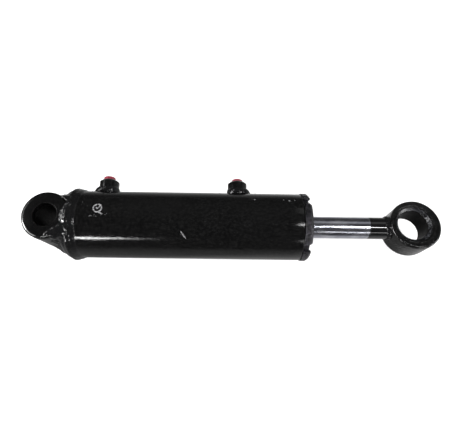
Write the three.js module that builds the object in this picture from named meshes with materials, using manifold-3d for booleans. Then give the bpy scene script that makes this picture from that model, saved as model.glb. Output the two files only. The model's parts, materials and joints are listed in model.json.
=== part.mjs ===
// Double-acting welded hydraulic cylinder: 63 mm bore, 25 mm rod, 100 mm stroke.
// Millimetres. +X runs from the base pin to the rod eye, +Z is the base pin's axis and the two
// oil ports look along +Y. The origin is the centre of the base pin's bore.
// The rod stands half out.

import * as THREE from 'three';
import { mergeVertices } from 'three/addons/utils/BufferGeometryUtils.js';
import Module from 'manifold-3d';

const wasm = await Module();
wasm.setup();

// ---- driving dimensions ---------------------------------------------------------------------

const GAP = 0.3;                     // left between pieces that touch or run on each other
const WIDE_STEPS = 48;               // facets round the barrel, its cap and both eyes
const FINE_STEPS = 32;               // facets round the rod, the piston and the gland
const RING_STEPS = 24;               // facets round the rings that run on the rod
const PORT_STEPS = 24;               // facets round the oil ports

const BARREL_RADIUS = 38;
const BORE_RADIUS = 31.5;
const ROD_RADIUS = 12.5;

const TUBE_START = 26.3;             // barrel tube, along X
const TUBE_END = 274.2;
const CAP_START = 8;                 // base cap, along X
const CAP_END = 44;

const CROSS_RADIUS = 25;             // cross tube at the base
const CROSS_LENGTH = 77;
const CROSS_BORE_RADIUS = 12.5;
const CROSS_RIM = 2.2;
const CROSS_MOUTH = 1.6;             // broken edge at the bore's mouths

const EYE_X = 401.7;                 // axis of the rod eye's bore
const EYE_OFFSET = 2.1;              // from that axis out to the middle of the eye's outside
const EYE_RADIUS = 28.6;
const EYE_WIDTH = 32;
const EYE_RIM = 2;
const EYE_TURN = -5;                 // degrees that the rod stands turned about X
const BUSHING_RADIUS = 21.6;
const BUSHING_INSET = 0.6;           // how far its ends lie below the eye's faces
const BUSHING_MOUTH = 3;             // lead-in at the bush's mouths
const EYE_BORE_RADIUS = 17;

const GLAND_RADIUS = 38.8;
const GLAND_END = 284.6;             // end of the flange's rim, which the slots cut right through
const GLAND_FACE = 281.2;            // the face inside that rim
const GLAND_BODY_START = 213;
const GLAND_NOSE_START = 189.5;      // the piston stops here when the rod is right out
const GLAND_SLOT_WIDTH = 10.6;
const GLAND_SLOT_DEPTH = 5;
const GLAND_SLOT_ANGLES = [37, 127, 217, 307];   // degrees from +Z towards +Y

const PISTON_START = 108.5;
const PISTON_END = 138.5;
const PISTON_RADIUS = 31.1;
const SPIGOT_RADIUS = 10;            // rod end that carries the piston and its nut
const ROD_START = 95;
const NUT_ACROSS_FLATS = 32;
const NUT_THICKNESS = 12;

const PORTS = { base: 52, rod: 203 };            // places of the oil ports along X
const PORT_TOP = 53.6;               // heights above the barrel's axis
const PORT_RADIUS = 10.4;
const PORT_RIM_RADIUS = 7.9;         // where the chamfer meets the port's face
const PORT_MOUTH_RADIUS = 7.1;       // countersink, wider than the plug's head
const PORT_THREAD_RADIUS = 5.8;
const PORT_THREAD_END = 43;
const PORT_DRILL_RADIUS = 4.5;
const PLUG_STEM_LENGTH = 9;
const PLUG_WALL = 1.4;

// ---- finishes -------------------------------------------------------------------------------

const paint = new THREE.MeshStandardMaterial({ color: 0x15161a, roughness: 0.3, metalness: 0.1 });
const weldPaint = new THREE.MeshStandardMaterial({ color: 0x1b1c20, roughness: 0.4, metalness: 0.1 });
const glandSteel = new THREE.MeshStandardMaterial({ color: 0x3a3740, roughness: 0.6, metalness: 0.5 });
const chrome = new THREE.MeshStandardMaterial({ color: 0xc8ccd2, roughness: 0.1, metalness: 1 });
const steel = new THREE.MeshStandardMaterial({ color: 0x8a8d91, roughness: 0.4, metalness: 1 });
const castIron = new THREE.MeshStandardMaterial({ color: 0x55575a, roughness: 0.6, metalness: 0.8 });
const rubber = new THREE.MeshStandardMaterial({ color: 0x101012, roughness: 0.8, metalness: 0 });
const polymer = new THREE.MeshStandardMaterial({ color: 0x2f6fa8, roughness: 0.5, metalness: 0 });
const bearing = new THREE.MeshStandardMaterial({ color: 0x8c7a4f, roughness: 0.6, metalness: 0 });
const plugRed = new THREE.MeshStandardMaterial({ color: 0xd8334a, roughness: 0.4, metalness: 0 });

// ---- solids ---------------------------------------------------------------------------------

// Turns a closed three.js geometry into a solid whose faces point out.
function solidOf(geometry) {
  const bare = geometry.clone();
  bare.deleteAttribute('normal');
  bare.deleteAttribute('uv');
  const merged = mergeVertices(bare, 1e-4);
  const points = merged.attributes.position;
  const corners = [0, 1, 2].map(() => new THREE.Vector3());
  const triangles = [];
  let volume = 0;
  for (let i = 0; i < merged.index.count; i += 3) {
    const [a, b, c] = [0, 1, 2].map((k) => merged.index.getX(i + k));
    if (a === b || b === c || c === a) continue;
    [a, b, c].forEach((index, k) => corners[k].fromBufferAttribute(points, index));
    volume += corners[0].dot(corners[1].cross(corners[2]));
    triangles.push(a, b, c);
  }
  if (volume < 0) triangles.reverse();
  return new wasm.Manifold(new wasm.Mesh({
    numProp: 3,
    vertProperties: new Float32Array(points.array),
    triVerts: new Uint32Array(triangles),
  }));
}

// Gives a solid back as a three.js geometry.
function geometryOf(solid) {
  const mesh = solid.getMesh();
  const geometry = new THREE.BufferGeometry();
  geometry.setAttribute('position', new THREE.BufferAttribute(mesh.vertProperties, 3));
  geometry.setIndex(new THREE.BufferAttribute(mesh.triVerts, 1));
  const faceted = geometry.toNonIndexed();
  faceted.computeVertexNormals();
  return faceted;
}

// Turns a profile of [height, radius] points about +Y.
function turnedY(profile, steps) {
  const points = profile.map(([height, radius]) => new THREE.Vector2(radius, height));
  return new THREE.LatheGeometry(points, steps);
}

// Turns a profile of [x, radius] points about +X.
function turnedX(profile, steps) {
  return turnedY(profile, steps).rotateZ(-Math.PI / 2);
}

// Turns a profile of [z, radius] points about +Z.
function turnedZ(profile, steps) {
  return turnedY(profile, steps).rotateX(Math.PI / 2);
}

// A plain disc or rod between two heights, as a profile.
function rodProfile(start, end, radius) {
  return [[start, 0], [start, radius], [end, radius], [end, 0]];
}

// A ring between two heights and two radii, with its outer corners broken by an amount.
function ringProfile(start, end, inner, outer, corner = 0) {
  const profile = [[start, inner]];
  if (corner > 0) {
    profile.push([start, outer - corner], [start + corner, outer]);
    profile.push([end - corner, outer], [end, outer - corner]);
  } else {
    profile.push([start, outer], [end, outer]);
  }
  profile.push([end, inner], [start, inner]);
  return profile;
}

// A ring of round section, as an O-ring is: its section's centre and radius.
function cordRingProfile(centre, ringRadius, cordRadius, sides = 8) {
  const profile = [];
  for (let i = 0; i <= sides; i += 1) {
    const angle = (2 * Math.PI * i) / sides;
    profile.push([centre + cordRadius * Math.cos(angle), ringRadius + cordRadius * Math.sin(angle)]);
  }
  profile[sides] = profile[0];
  return profile;
}

function named(name, geometry, material) {
  const mesh = new THREE.Mesh(geometry, material);
  mesh.name = name;
  return mesh;
}

function turnedPiece(name, profile, steps, material) {
  return named(name, geometryOf(solidOf(turnedX(profile, steps))), material);
}

// ---- base end -------------------------------------------------------------------------------

// The cross tube's outside, grown by a gap, as a cutter that runs right through its neighbours.
function crossTubeCutter(length) {
  return solidOf(turnedZ(rodProfile(-length / 2, length / 2, CROSS_RADIUS + GAP), WIDE_STEPS));
}

function baseCrossTube() {
  const half = CROSS_LENGTH / 2;
  const profile = [
    [-half, CROSS_BORE_RADIUS + CROSS_MOUTH], [-half, CROSS_RADIUS - CROSS_RIM],
    [-half + CROSS_RIM, CROSS_RADIUS], [half - CROSS_RIM, CROSS_RADIUS],
    [half, CROSS_RADIUS - CROSS_RIM], [half, CROSS_BORE_RADIUS + CROSS_MOUTH],
    [half - CROSS_MOUTH, CROSS_BORE_RADIUS], [-half + CROSS_MOUTH, CROSS_BORE_RADIUS],
    [-half, CROSS_BORE_RADIUS + CROSS_MOUTH],
  ];
  return named('base_cross_tube', geometryOf(solidOf(turnedZ(profile, WIDE_STEPS))), paint);
}

// The cap's skirt is hollowed to sit round the cross tube; its spigot closes the barrel.
const CAP_SKIRT_RADIUS = 33.5;
const CAP_SHOULDER = { x: 19, radius: 37.1 };

function baseEndCap() {
  const spigotRadius = BORE_RADIUS - GAP;
  const bevelRoot = TUBE_START - 2 * GAP;
  const corner = 1;
  const profile = [
    [CAP_START, 0], [CAP_START, CAP_SKIRT_RADIUS], [CAP_SHOULDER.x, CAP_SHOULDER.radius],
    [bevelRoot, spigotRadius], [CAP_END - corner, spigotRadius], [CAP_END, spigotRadius - corner],
    [CAP_END, 0],
  ];
  const cap = solidOf(turnedX(profile, WIDE_STEPS)).subtract(crossTubeCutter(2 * CROSS_LENGTH));
  return named('base_end_cap', geometryOf(cap), paint);
}

// The weld that joins the cap to the barrel: a vee between their bevels under a wide crown.
const WELD_TOE = [13.2, 35.9];                       // where the crown starts on the cap's skirt
const WELD_CROWN = [[30.6, 39.3], [27.2, 40.1], [23.5, 40.4], [19.8, 39.8], [16.2, 38.2]];
const WELD_END = 33;
const TUBE_BEVEL_END = 31;

function baseCapWeld() {
  const foot = BARREL_RADIUS + GAP + 0.05;           // clear of the barrel's facets
  const profile = [
    WELD_TOE, [CAP_SHOULDER.x - 0.1, CAP_SHOULDER.radius + 0.5],
    [TUBE_START - GAP, BORE_RADIUS + 3 * GAP], [TUBE_BEVEL_END + 0.1, foot], [WELD_END, foot],
    ...WELD_CROWN, WELD_TOE,
  ];
  const weld = solidOf(turnedX(profile, WIDE_STEPS)).subtract(crossTubeCutter(CROSS_LENGTH + 2 * GAP));
  return named('base_cap_weld', geometryOf(weld), weldPaint);
}

// The two long fillets between the cross tube and the cap's skirt, one on each side of the tube.
function crossTubeWeld(name, side, outline) {
  const end = CAP_START - GAP;
  const profile = [[outline[0][0], 0], ...outline, [end, outline.at(-1)[1]], [end, 0]];
  const reach = 2 * BARREL_RADIUS;
  const half = new THREE.BoxGeometry(reach, BARREL_RADIUS, reach);
  half.translate(0, side * BARREL_RADIUS / 2, 0);
  const weld = solidOf(turnedX(profile, WIDE_STEPS))
    .subtract(crossTubeCutter(2 * CROSS_LENGTH))
    .intersect(solidOf(half));
  return named(name, geometryOf(weld), weldPaint);
}

const PORT_SIDE_FILLET = [[-8, 28.6], [-4.5, 32], [0.5, 34.2]];
const FAR_SIDE_FILLET = [[-1, 28.2], [1.5, 30.4], [4.5, 32.2]];

// ---- barrel and ports -----------------------------------------------------------------------

// A round cutter along +Y at a port's place, from the barrel's axis outwards.
function portDrill(x, radius, start, end) {
  return solidOf(turnedY(rodProfile(start, end, radius), PORT_STEPS).translate(x, 0, 0));
}

function barrelTube() {
  const corner = 0.6;
  const root = 0.4;                  // left standing at the foot of the weld bevel
  const profile = [
    [TUBE_START, BORE_RADIUS], [TUBE_END, BORE_RADIUS], [TUBE_END, BARREL_RADIUS - corner],
    [TUBE_END - corner, BARREL_RADIUS], [TUBE_BEVEL_END, BARREL_RADIUS],
    [TUBE_START, BORE_RADIUS + root], [TUBE_START, BORE_RADIUS],
  ];
  let tube = solidOf(turnedX(profile, WIDE_STEPS));
  for (const x of Object.values(PORTS)) {
    tube = tube.subtract(portDrill(x, PORT_DRILL_RADIUS, 0, 2 * BARREL_RADIUS));
  }
  return named('barrel_tube', geometryOf(tube), paint);
}

// The barrel's outside, grown by a gap: the ports' pieces are hollowed to sit on it.
function barrelSaddle() {
  return solidOf(turnedX(rodProfile(TUBE_START, TUBE_END, BARREL_RADIUS + GAP), WIDE_STEPS));
}

// The bosses and their welds start inside the barrel's wall and are cut back to its saddle.
const PORT_FOOT = 30;

function portBoss(name, x) {
  const chamferStart = 50.2;
  const mouthEnd = PORT_TOP - (PORT_MOUTH_RADIUS - PORT_THREAD_RADIUS);
  const drillStart = PORT_THREAD_END - (PORT_THREAD_RADIUS - PORT_DRILL_RADIUS);
  const profile = [
    [PORT_FOOT, PORT_DRILL_RADIUS], [PORT_FOOT, PORT_RADIUS], [chamferStart, PORT_RADIUS],
    [PORT_TOP, PORT_RIM_RADIUS], [PORT_TOP, PORT_MOUTH_RADIUS], [mouthEnd, PORT_THREAD_RADIUS],
    [PORT_THREAD_END, PORT_THREAD_RADIUS], [drillStart, PORT_DRILL_RADIUS],
    [PORT_FOOT, PORT_DRILL_RADIUS],
  ];
  const boss = solidOf(turnedY(profile, PORT_STEPS).translate(x, 0, 0)).subtract(barrelSaddle());
  return named(name, geometryOf(boss), paint);
}

const PORT_BEAD = [[39.4, 14.6], [41.6, 13.8], [43.4, 12.4], [44.4, 11.3]];

function portWeld(name, x) {
  const inner = PORT_RADIUS + GAP;
  const footRadius = 15;
  const profile = [
    [PORT_FOOT, inner], [PORT_FOOT, footRadius], ...PORT_BEAD, [PORT_BEAD.at(-1)[0], inner],
    [PORT_FOOT, inner],
  ];
  const weld = solidOf(turnedY(profile, PORT_STEPS).translate(x, 0, 0)).subtract(barrelSaddle());
  return named(name, geometryOf(weld), weldPaint);
}

// The shipping plug: a hollow stem in the port's thread under a low domed head.
// The dome is given as heights above the head's underside.
const PLUG_DOME = [[0, 6.6], [1.6, 6.7], [2.7, 5.9], [3.2, 4.2], [3.4, 0]];

function portPlug(name, x) {
  const stem = PORT_THREAD_RADIUS - GAP;
  const hollow = stem - PLUG_WALL;
  const head = PORT_TOP + GAP;
  const stemEnd = head - PLUG_STEM_LENGTH;
  const hollowEnd = head + 1;
  const profile = [
    [stemEnd, hollow], [stemEnd, stem - 0.4], [stemEnd + 1, stem], [head, stem],
    ...PLUG_DOME.map(([height, radius]) => [head + height, radius]),
    [hollowEnd, 0], [hollowEnd, hollow], [stemEnd, hollow],
  ];
  const plug = solidOf(turnedY(profile, PORT_STEPS).translate(x, 0, 0));
  return named(name, geometryOf(plug), plugRed);
}

// ---- gland and its seals --------------------------------------------------------------------

// Grooves inside the gland, [start, end, radius], and the ones outside it.
const WEAR_GROOVE = [222, 238, 15.4];
const ROD_SEAL_GROOVE = [247, 256, 17.9];
const WIPER_GROOVE = [272.2, 279.2, 17.9];
const GLAND_RING_GROOVE = [216, 223, 27.6];
const MOUTH_RADIUS = 16;

// A groove as profile points, walked from its end back to its start.
function grooveProfile([start, end, radius], land) {
  return [[end, land], [end, radius], [start, radius], [start, land]];
}

function glandNut() {
  const bore = ROD_RADIUS + 0.4;
  const neck = BORE_RADIUS - GAP - 0.1;
  const noseRadius = 22;
  const noseCorner = 1;
  const chamfer = 2.6;
  const rimInner = GLAND_RADIUS - GLAND_SLOT_DEPTH;
  const flange = TUBE_END + GAP;
  const profile = [
    [GLAND_NOSE_START, bore], [GLAND_NOSE_START, noseRadius - noseCorner],
    [GLAND_NOSE_START + noseCorner, noseRadius], [GLAND_BODY_START, noseRadius],
    ...grooveProfile(GLAND_RING_GROOVE, neck).reverse(),
    [flange, neck], [flange, GLAND_RADIUS], [GLAND_END - chamfer, GLAND_RADIUS],
    [GLAND_END, GLAND_RADIUS - chamfer], [GLAND_END, rimInner], [GLAND_FACE, rimInner],
    [GLAND_FACE, MOUTH_RADIUS],
    [WIPER_GROOVE[1], MOUTH_RADIUS], ...grooveProfile(WIPER_GROOVE, bore).slice(1),
    ...grooveProfile(ROD_SEAL_GROOVE, bore), ...grooveProfile(WEAR_GROOVE, bore),
    [GLAND_NOSE_START, bore],
  ];
  let gland = solidOf(turnedX(profile, FINE_STEPS));
  for (const degrees of GLAND_SLOT_ANGLES) {
    const slot = new THREE.BoxGeometry(2 * (GLAND_END - TUBE_END), GLAND_SLOT_WIDTH, 2 * GLAND_SLOT_DEPTH);
    slot.translate(GLAND_END, 0, GLAND_RADIUS);
    slot.rotateX(THREE.MathUtils.degToRad(-degrees));
    gland = gland.subtract(solidOf(slot));
  }
  return named('gland_nut', geometryOf(gland), glandSteel);
}

function glandWearRing() {
  const profile = ringProfile(WEAR_GROOVE[0] + GAP, WEAR_GROOVE[1] - GAP, ROD_RADIUS + GAP,
    WEAR_GROOVE[2] - GAP);
  return turnedPiece('gland_wear_ring', profile, RING_STEPS, bearing);
}

// A U-cup: its open lips face the oil.
function rodSeal() {
  const [start, end, radius] = ROD_SEAL_GROOVE;
  const inner = ROD_RADIUS + GAP;
  const outer = radius - GAP;
  const lip = 1.2;
  const cupDepth = 4;
  const profile = [
    [start + GAP, inner], [start + GAP, inner + lip], [start + cupDepth, (inner + outer) / 2],
    [start + GAP, outer - lip], [start + GAP, outer], [end - GAP, outer], [end - GAP, inner],
    [start + GAP, inner],
  ];
  return turnedPiece('rod_seal', profile, RING_STEPS, polymer);
}

// The wiper's lip stands out of the gland's face and scrapes the rod.
function rodWiper() {
  const [start, end, radius] = WIPER_GROOVE;
  const inner = ROD_RADIUS + GAP;
  const lipEnd = GLAND_FACE + 0.8;
  const lip = 0.5;
  const profile = [
    [start + GAP, inner + 2 * lip], [start + GAP, radius - GAP], [end - GAP, radius - GAP],
    [end - GAP, MOUTH_RADIUS - 2 * GAP], [GLAND_FACE - 0.4, MOUTH_RADIUS - 1.4],
    [lipEnd, inner + lip], [lipEnd, inner], [lipEnd - 3.3, inner], [start + GAP, inner + 2 * lip],
  ];
  return turnedPiece('rod_wiper', profile, RING_STEPS, rubber);
}

const O_RING_CORD = 1.55;

function glandORing() {
  const outer = BORE_RADIUS - GAP;
  const centre = GLAND_RING_GROOVE[0] + GAP + O_RING_CORD;
  const profile = cordRingProfile(centre, outer - O_RING_CORD, O_RING_CORD);
  return turnedPiece('gland_o_ring', profile, FINE_STEPS, rubber);
}

function glandBackupRing() {
  const thickness = 2.4;
  const end = GLAND_RING_GROOVE[1] - GAP;
  const profile = ringProfile(end - thickness, end, GLAND_RING_GROOVE[2] + GAP, BORE_RADIUS - GAP);
  return turnedPiece('gland_backup_ring', profile, FINE_STEPS, polymer);
}

// ---- piston and rod -------------------------------------------------------------------------

const GROOVE_LENGTH = 6.2;
const GROOVE_PITCH = 8.9;
const FIRST_GROOVE = PISTON_START + 3;
const WEAR_DEPTH_RADIUS = 28.6;
const SEAL_DEPTH_RADIUS = 25.4;
const PISTON_GROOVES = [WEAR_DEPTH_RADIUS, SEAL_DEPTH_RADIUS, WEAR_DEPTH_RADIUS].map(
  (radius, index) => ({ start: FIRST_GROOVE + index * GROOVE_PITCH, radius }),
);
const PISTON_BORE = SPIGOT_RADIUS + GAP;
const PISTON_RING_GROOVE = [128, 131.4, 12.9];

function piston() {
  const corner = 1;
  const profile = [[PISTON_START, PISTON_BORE], [PISTON_START, PISTON_RADIUS - corner],
    [PISTON_START + corner, PISTON_RADIUS]];
  for (const { start, radius } of PISTON_GROOVES) {
    const end = start + GROOVE_LENGTH;
    profile.push([start, PISTON_RADIUS], [start, radius], [end, radius], [end, PISTON_RADIUS]);
  }
  profile.push([PISTON_END - corner, PISTON_RADIUS], [PISTON_END, PISTON_RADIUS - corner],
    [PISTON_END, PISTON_BORE]);
  profile.push(...grooveProfile(PISTON_RING_GROOVE, PISTON_BORE), [PISTON_START, PISTON_BORE]);
  return turnedPiece('piston', profile, FINE_STEPS, castIron);
}

// A ring that fills one of the piston's grooves between two radii.
function pistonRing(name, groove, inner, outer, material) {
  const start = groove.start + GAP;
  const end = groove.start + GROOVE_LENGTH - GAP;
  return turnedPiece(name, ringProfile(start, end, inner, outer, 0.4), FINE_STEPS, material);
}

function pistonORing() {
  const [start, end, radius] = PISTON_RING_GROOVE;
  const cord = (radius - GAP - PISTON_BORE) / 2;
  const profile = cordRingProfile((start + end) / 2, PISTON_BORE + cord, cord);
  return turnedPiece('piston_o_ring', profile, RING_STEPS, rubber);
}

function pistonLockNut() {
  const end = PISTON_START - GAP;
  const start = end - NUT_THICKNESS;
  const corner = NUT_ACROSS_FLATS / Math.sqrt(3);
  const crownDrop = 1.4;             // height over which the hexagon's corners are turned away
  const hexagon = turnedX(rodProfile(start, end, corner), 6);
  const crown = turnedX([
    [start, 0], [start, NUT_ACROSS_FLATS / 2 - 0.4], [start + crownDrop, corner + 0.2],
    [end, corner + 0.2], [end, 0],
  ], FINE_STEPS);
  const hole = turnedX(rodProfile(start - 1, end + 1, PISTON_BORE), FINE_STEPS);
  const nut = solidOf(hexagon).intersect(solidOf(crown)).subtract(solidOf(hole));
  return named('piston_lock_nut', geometryOf(nut), steel);
}

function pistonRod() {
  const shoulder = PISTON_END + GAP;
  const rodEnd = EYE_X + EYE_OFFSET - EYE_RADIUS - GAP;
  const corner = 1.2;
  const profile = [
    [ROD_START, 0], [ROD_START, SPIGOT_RADIUS - corner], [ROD_START + corner, SPIGOT_RADIUS],
    [shoulder, SPIGOT_RADIUS], [shoulder, ROD_RADIUS], [rodEnd, ROD_RADIUS], [rodEnd, 0],
  ];
  return turnedPiece('piston_rod', profile, FINE_STEPS, chrome);
}

// ---- rod eye --------------------------------------------------------------------------------

// The eye's outside stands a little further out than its bore.
function rodEye() {
  const half = EYE_WIDTH / 2;
  const profile = [
    [-half, 0], [-half, EYE_RADIUS - EYE_RIM], [-half + EYE_RIM, EYE_RADIUS],
    [half - EYE_RIM, EYE_RADIUS], [half, EYE_RADIUS - EYE_RIM], [half, 0],
  ];
  const outside = solidOf(turnedZ(profile, WIDE_STEPS).translate(EYE_OFFSET, 0, 0));
  const bore = turnedZ(rodProfile(-EYE_WIDTH, EYE_WIDTH, BUSHING_RADIUS + GAP), WIDE_STEPS);
  return named('rod_eye', geometryOf(outside.subtract(solidOf(bore))), paint);
}

function rodEyeBushing() {
  const half = EYE_WIDTH / 2 - BUSHING_INSET;
  const mouthRadius = EYE_BORE_RADIUS + BUSHING_MOUTH;
  const profile = [
    [-half, mouthRadius], [-half, BUSHING_RADIUS], [half, BUSHING_RADIUS], [half, mouthRadius],
    [half - BUSHING_MOUTH, EYE_BORE_RADIUS], [-half + BUSHING_MOUTH, EYE_BORE_RADIUS],
    [-half, mouthRadius],
  ];
  return named('rod_eye_bushing', geometryOf(solidOf(turnedZ(profile, WIDE_STEPS))), paint);
}

// The weld runs round the rod and climbs the eye. Its bead is given as [x, radius] from the
// middle of the eye's outside.
const EYE_BEAD = [[-36.2, 13.3], [-34.4, 13.9], [-32.4, 15], [-30, 16.4], [-24, 17.2]];

function rodEyeWeld() {
  const inner = ROD_RADIUS + GAP;
  const toe = EYE_BEAD[0][0] - 0.6;
  const profile = [[toe, inner], ...EYE_BEAD, [EYE_BEAD.at(-1)[0], inner], [toe, inner]];
  const eye = turnedZ(rodProfile(-EYE_WIDTH, EYE_WIDTH, EYE_RADIUS + GAP), WIDE_STEPS);
  const weld = solidOf(turnedX(profile, FINE_STEPS)).subtract(solidOf(eye));
  return named('rod_eye_weld', geometryOf(weld.translate(EYE_OFFSET, 0, 0)), weldPaint);
}

// ---- assembly -------------------------------------------------------------------------------

function barrelGroup() {
  const group = new THREE.Group();
  group.add(baseCrossTube(), baseEndCap(), baseCapWeld());
  group.add(crossTubeWeld('cross_tube_weld_port_side', 1, PORT_SIDE_FILLET));
  group.add(crossTubeWeld('cross_tube_weld_far_side', -1, FAR_SIDE_FILLET));
  group.add(barrelTube());
  for (const [end, x] of Object.entries(PORTS)) {
    group.add(portBoss(`${end}_port_boss`, x), portWeld(`${end}_port_weld`, x));
    group.add(portPlug(`${end}_port_plug`, x));
  }
  group.add(glandNut(), glandWearRing(), rodSeal(), rodWiper(), glandORing(), glandBackupRing());
  return group;
}

function pistonSealGroup() {
  const [rear, middle, front] = PISTON_GROOVES;
  const outer = BORE_RADIUS - GAP - 0.05;
  const split = (SEAL_DEPTH_RADIUS + outer) / 2;
  const group = new THREE.Group();
  group.add(pistonRing('piston_wear_ring_rear', rear, rear.radius + GAP, outer, bearing));
  group.add(pistonRing('piston_seal', middle, split + GAP / 2, outer, polymer));
  group.add(pistonRing('piston_seal_expander', middle, middle.radius + GAP, split - GAP / 2, rubber));
  group.add(pistonRing('piston_wear_ring_front', front, front.radius + GAP, outer, bearing));
  return group;
}

function rodGroup() {
  const eye = new THREE.Group();
  eye.add(rodEye(), rodEyeBushing(), rodEyeWeld());
  eye.position.x = EYE_X;
  const group = new THREE.Group();
  group.add(pistonRod(), piston(), pistonORing(), pistonLockNut(), eye);
  group.rotation.x = THREE.MathUtils.degToRad(EYE_TURN);
  return group;
}

const cylinder = new THREE.Group();
cylinder.add(barrelGroup(), pistonSealGroup(), rodGroup());

export default cylinder;
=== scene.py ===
"""Looks of a double-acting welded hydraulic cylinder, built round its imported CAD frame.

Row frame, metres: +X from the base pin to the rod eye, +Z the base pin's axis, +Y the way the
oil ports look. Profiles and small sizes are in millimetres and scaled by MM where meshes are made.
"""

import json
import random
from math import acos, asin, atan2, ceil, copysign, cos, degrees, hypot, pi, radians, sin, sqrt, tan

import bmesh
import bpy
from mathutils import Matrix, Vector, noise


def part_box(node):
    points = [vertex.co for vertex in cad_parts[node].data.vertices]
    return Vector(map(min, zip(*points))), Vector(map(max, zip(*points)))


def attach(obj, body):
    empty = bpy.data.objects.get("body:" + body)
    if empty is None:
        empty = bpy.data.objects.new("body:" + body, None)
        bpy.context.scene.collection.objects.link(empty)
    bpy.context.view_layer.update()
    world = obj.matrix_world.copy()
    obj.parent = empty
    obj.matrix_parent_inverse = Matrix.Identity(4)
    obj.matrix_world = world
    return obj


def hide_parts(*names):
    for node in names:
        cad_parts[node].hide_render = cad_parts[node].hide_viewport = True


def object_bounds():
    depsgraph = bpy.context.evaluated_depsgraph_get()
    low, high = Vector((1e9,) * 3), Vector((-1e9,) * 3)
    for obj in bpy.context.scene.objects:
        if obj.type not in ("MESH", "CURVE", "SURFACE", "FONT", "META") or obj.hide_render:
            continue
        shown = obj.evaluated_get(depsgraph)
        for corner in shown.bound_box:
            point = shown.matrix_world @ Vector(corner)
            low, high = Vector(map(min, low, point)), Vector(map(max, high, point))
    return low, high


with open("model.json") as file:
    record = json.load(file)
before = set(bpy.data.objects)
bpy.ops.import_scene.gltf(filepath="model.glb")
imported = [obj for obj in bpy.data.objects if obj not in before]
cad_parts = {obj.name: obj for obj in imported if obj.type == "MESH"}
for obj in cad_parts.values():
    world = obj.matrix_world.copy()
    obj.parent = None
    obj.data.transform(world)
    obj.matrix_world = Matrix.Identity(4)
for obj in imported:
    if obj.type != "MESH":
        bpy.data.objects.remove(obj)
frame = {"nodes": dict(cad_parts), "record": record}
cad_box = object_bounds()

MM = 0.001
TAU = 2 * pi


# ---- sizes read from the frame, in millimetres ----

def low(node, axis=0):
    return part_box(node)[0][axis] / MM


def high(node, axis=0):
    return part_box(node)[1][axis] / MM


def middle(node):
    return (low(node) + high(node)) / 2


def half_length(node):
    return (high(node) - low(node)) / 2


FATTER = 0.8                         # added to CAD's radius of cross tube and port bosses
TUBE_START, TUBE_END = low("barrel_tube"), high("barrel_tube")
BARREL_RADIUS = high("barrel_tube", 2)
BORE_RADIUS = 31.5
CAP_START = low("base_end_cap")
CROSS_RADIUS = -low("base_cross_tube") + FATTER
CROSS_HALF = high("base_cross_tube", 2)
CROSS_BORE = 12.5
GLAND_START, GLAND_END = TUBE_END + 0.4, high("gland_nut")
GLAND_FACE = GLAND_END - 3.4         # the flange's face, inside its rim
GLAND_RADIUS = high("gland_nut", 2)
GLAND_SLOT_ANGLES = (37, 127, 217, 307)
ROD_RADIUS = 12.5
EYE_X = middle("rod_eye_bushing")
EYE_OFFSET = middle("rod_eye") - EYE_X
EYE_RADIUS = half_length("rod_eye")
EYE_HALF = 16.0
EYE_TURN = radians(-5)
PORT_TOP = high("base_port_boss", 1)
PORT_RADIUS = half_length("base_port_boss") + FATTER
PORTS = {end: middle(f"{end}_port_boss") for end in ("base", "rod")}


# ---- node materials ----

class Nodes:
    """The node tree of a new material or world, with short calls for the few nodes used here."""

    def __init__(self, name, kind="materials", shader="Principled BSDF", place="Object"):
        self.owner = getattr(bpy.data, kind).new(name)
        self.owner.use_nodes = True
        self.tree = self.owner.node_tree
        self.shader = self.tree.nodes[shader]
        self.place = self.add("ShaderNodeTexCoord").outputs[place]

    def put(self, value, socket):
        """Sets the socket to a number or colour, or feeds it from another node's output."""
        if isinstance(value, tuple):
            socket.default_value = (*value, 1) if socket.type == "RGBA" else value
        elif isinstance(value, (int, float)):
            socket.default_value = value
        else:
            self.tree.links.new(value, socket)

    def add(self, kind, inputs=None, **settings):
        node = self.tree.nodes.new(kind)
        for key, value in settings.items():
            setattr(node, key, value)
        for key, value in (inputs or {}).items():
            self.put(value, node.inputs[key])
        return node

    def noise(self, scale, detail=4, roughness=0.5, distortion=0.0):
        """Noise of one scale, or with a scale for each axis."""
        place = self.place
        if isinstance(scale, tuple):
            mapping = self.add("ShaderNodeMapping", {"Vector": place, "Scale": scale})
            place, scale = mapping.outputs["Vector"], 1.0
        inputs = {"Vector": place, "Scale": scale, "Detail": detail, "Roughness": roughness,
                  "Distortion": distortion}
        return self.add("ShaderNodeTexNoise", inputs).outputs["Fac"]

    def cells(self, scale):
        inputs = {"Vector": self.place, "Scale": scale}
        return self.add("ShaderNodeTexVoronoi", inputs).outputs["Distance"]

    def span(self, value, lowest, highest, to_low=0.0, to_high=1.0):
        inputs = {"Value": value, "From Min": lowest, "From Max": highest, "To Min": to_low,
                  "To Max": to_high}
        return self.add("ShaderNodeMapRange", inputs).outputs["Result"]

    def math(self, operation, *values):
        return self.add("ShaderNodeMath", dict(enumerate(values)), operation=operation).outputs[0]

    def mix(self, factor, first, second):
        """Sockets 6 and 7 and output 2 are the mix node's colours."""
        inputs = {0: factor, 6: first, 7: second}
        return self.add("ShaderNodeMix", inputs, data_type="RGBA").outputs[2]

    def bumps(self, *layers):
        """Bumps of (height, distance, strength), each laid over the one before."""
        below = {}
        for height, distance, strength in layers:
            inputs = {"Height": height, "Distance": distance, "Strength": strength, **below}
            below = {"Normal": self.add("ShaderNodeBump", inputs).outputs["Normal"]}
        return below["Normal"]

    def set(self, **values):
        for key, value in values.items():
            self.put(value, self.shader.inputs[key.replace("_", " ")])
        return self.owner

    def coat(self, colour, roughness, skin, **more):
        return self.set(Base_Color=colour, Roughness=roughness, Normal=skin, **more)


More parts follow.
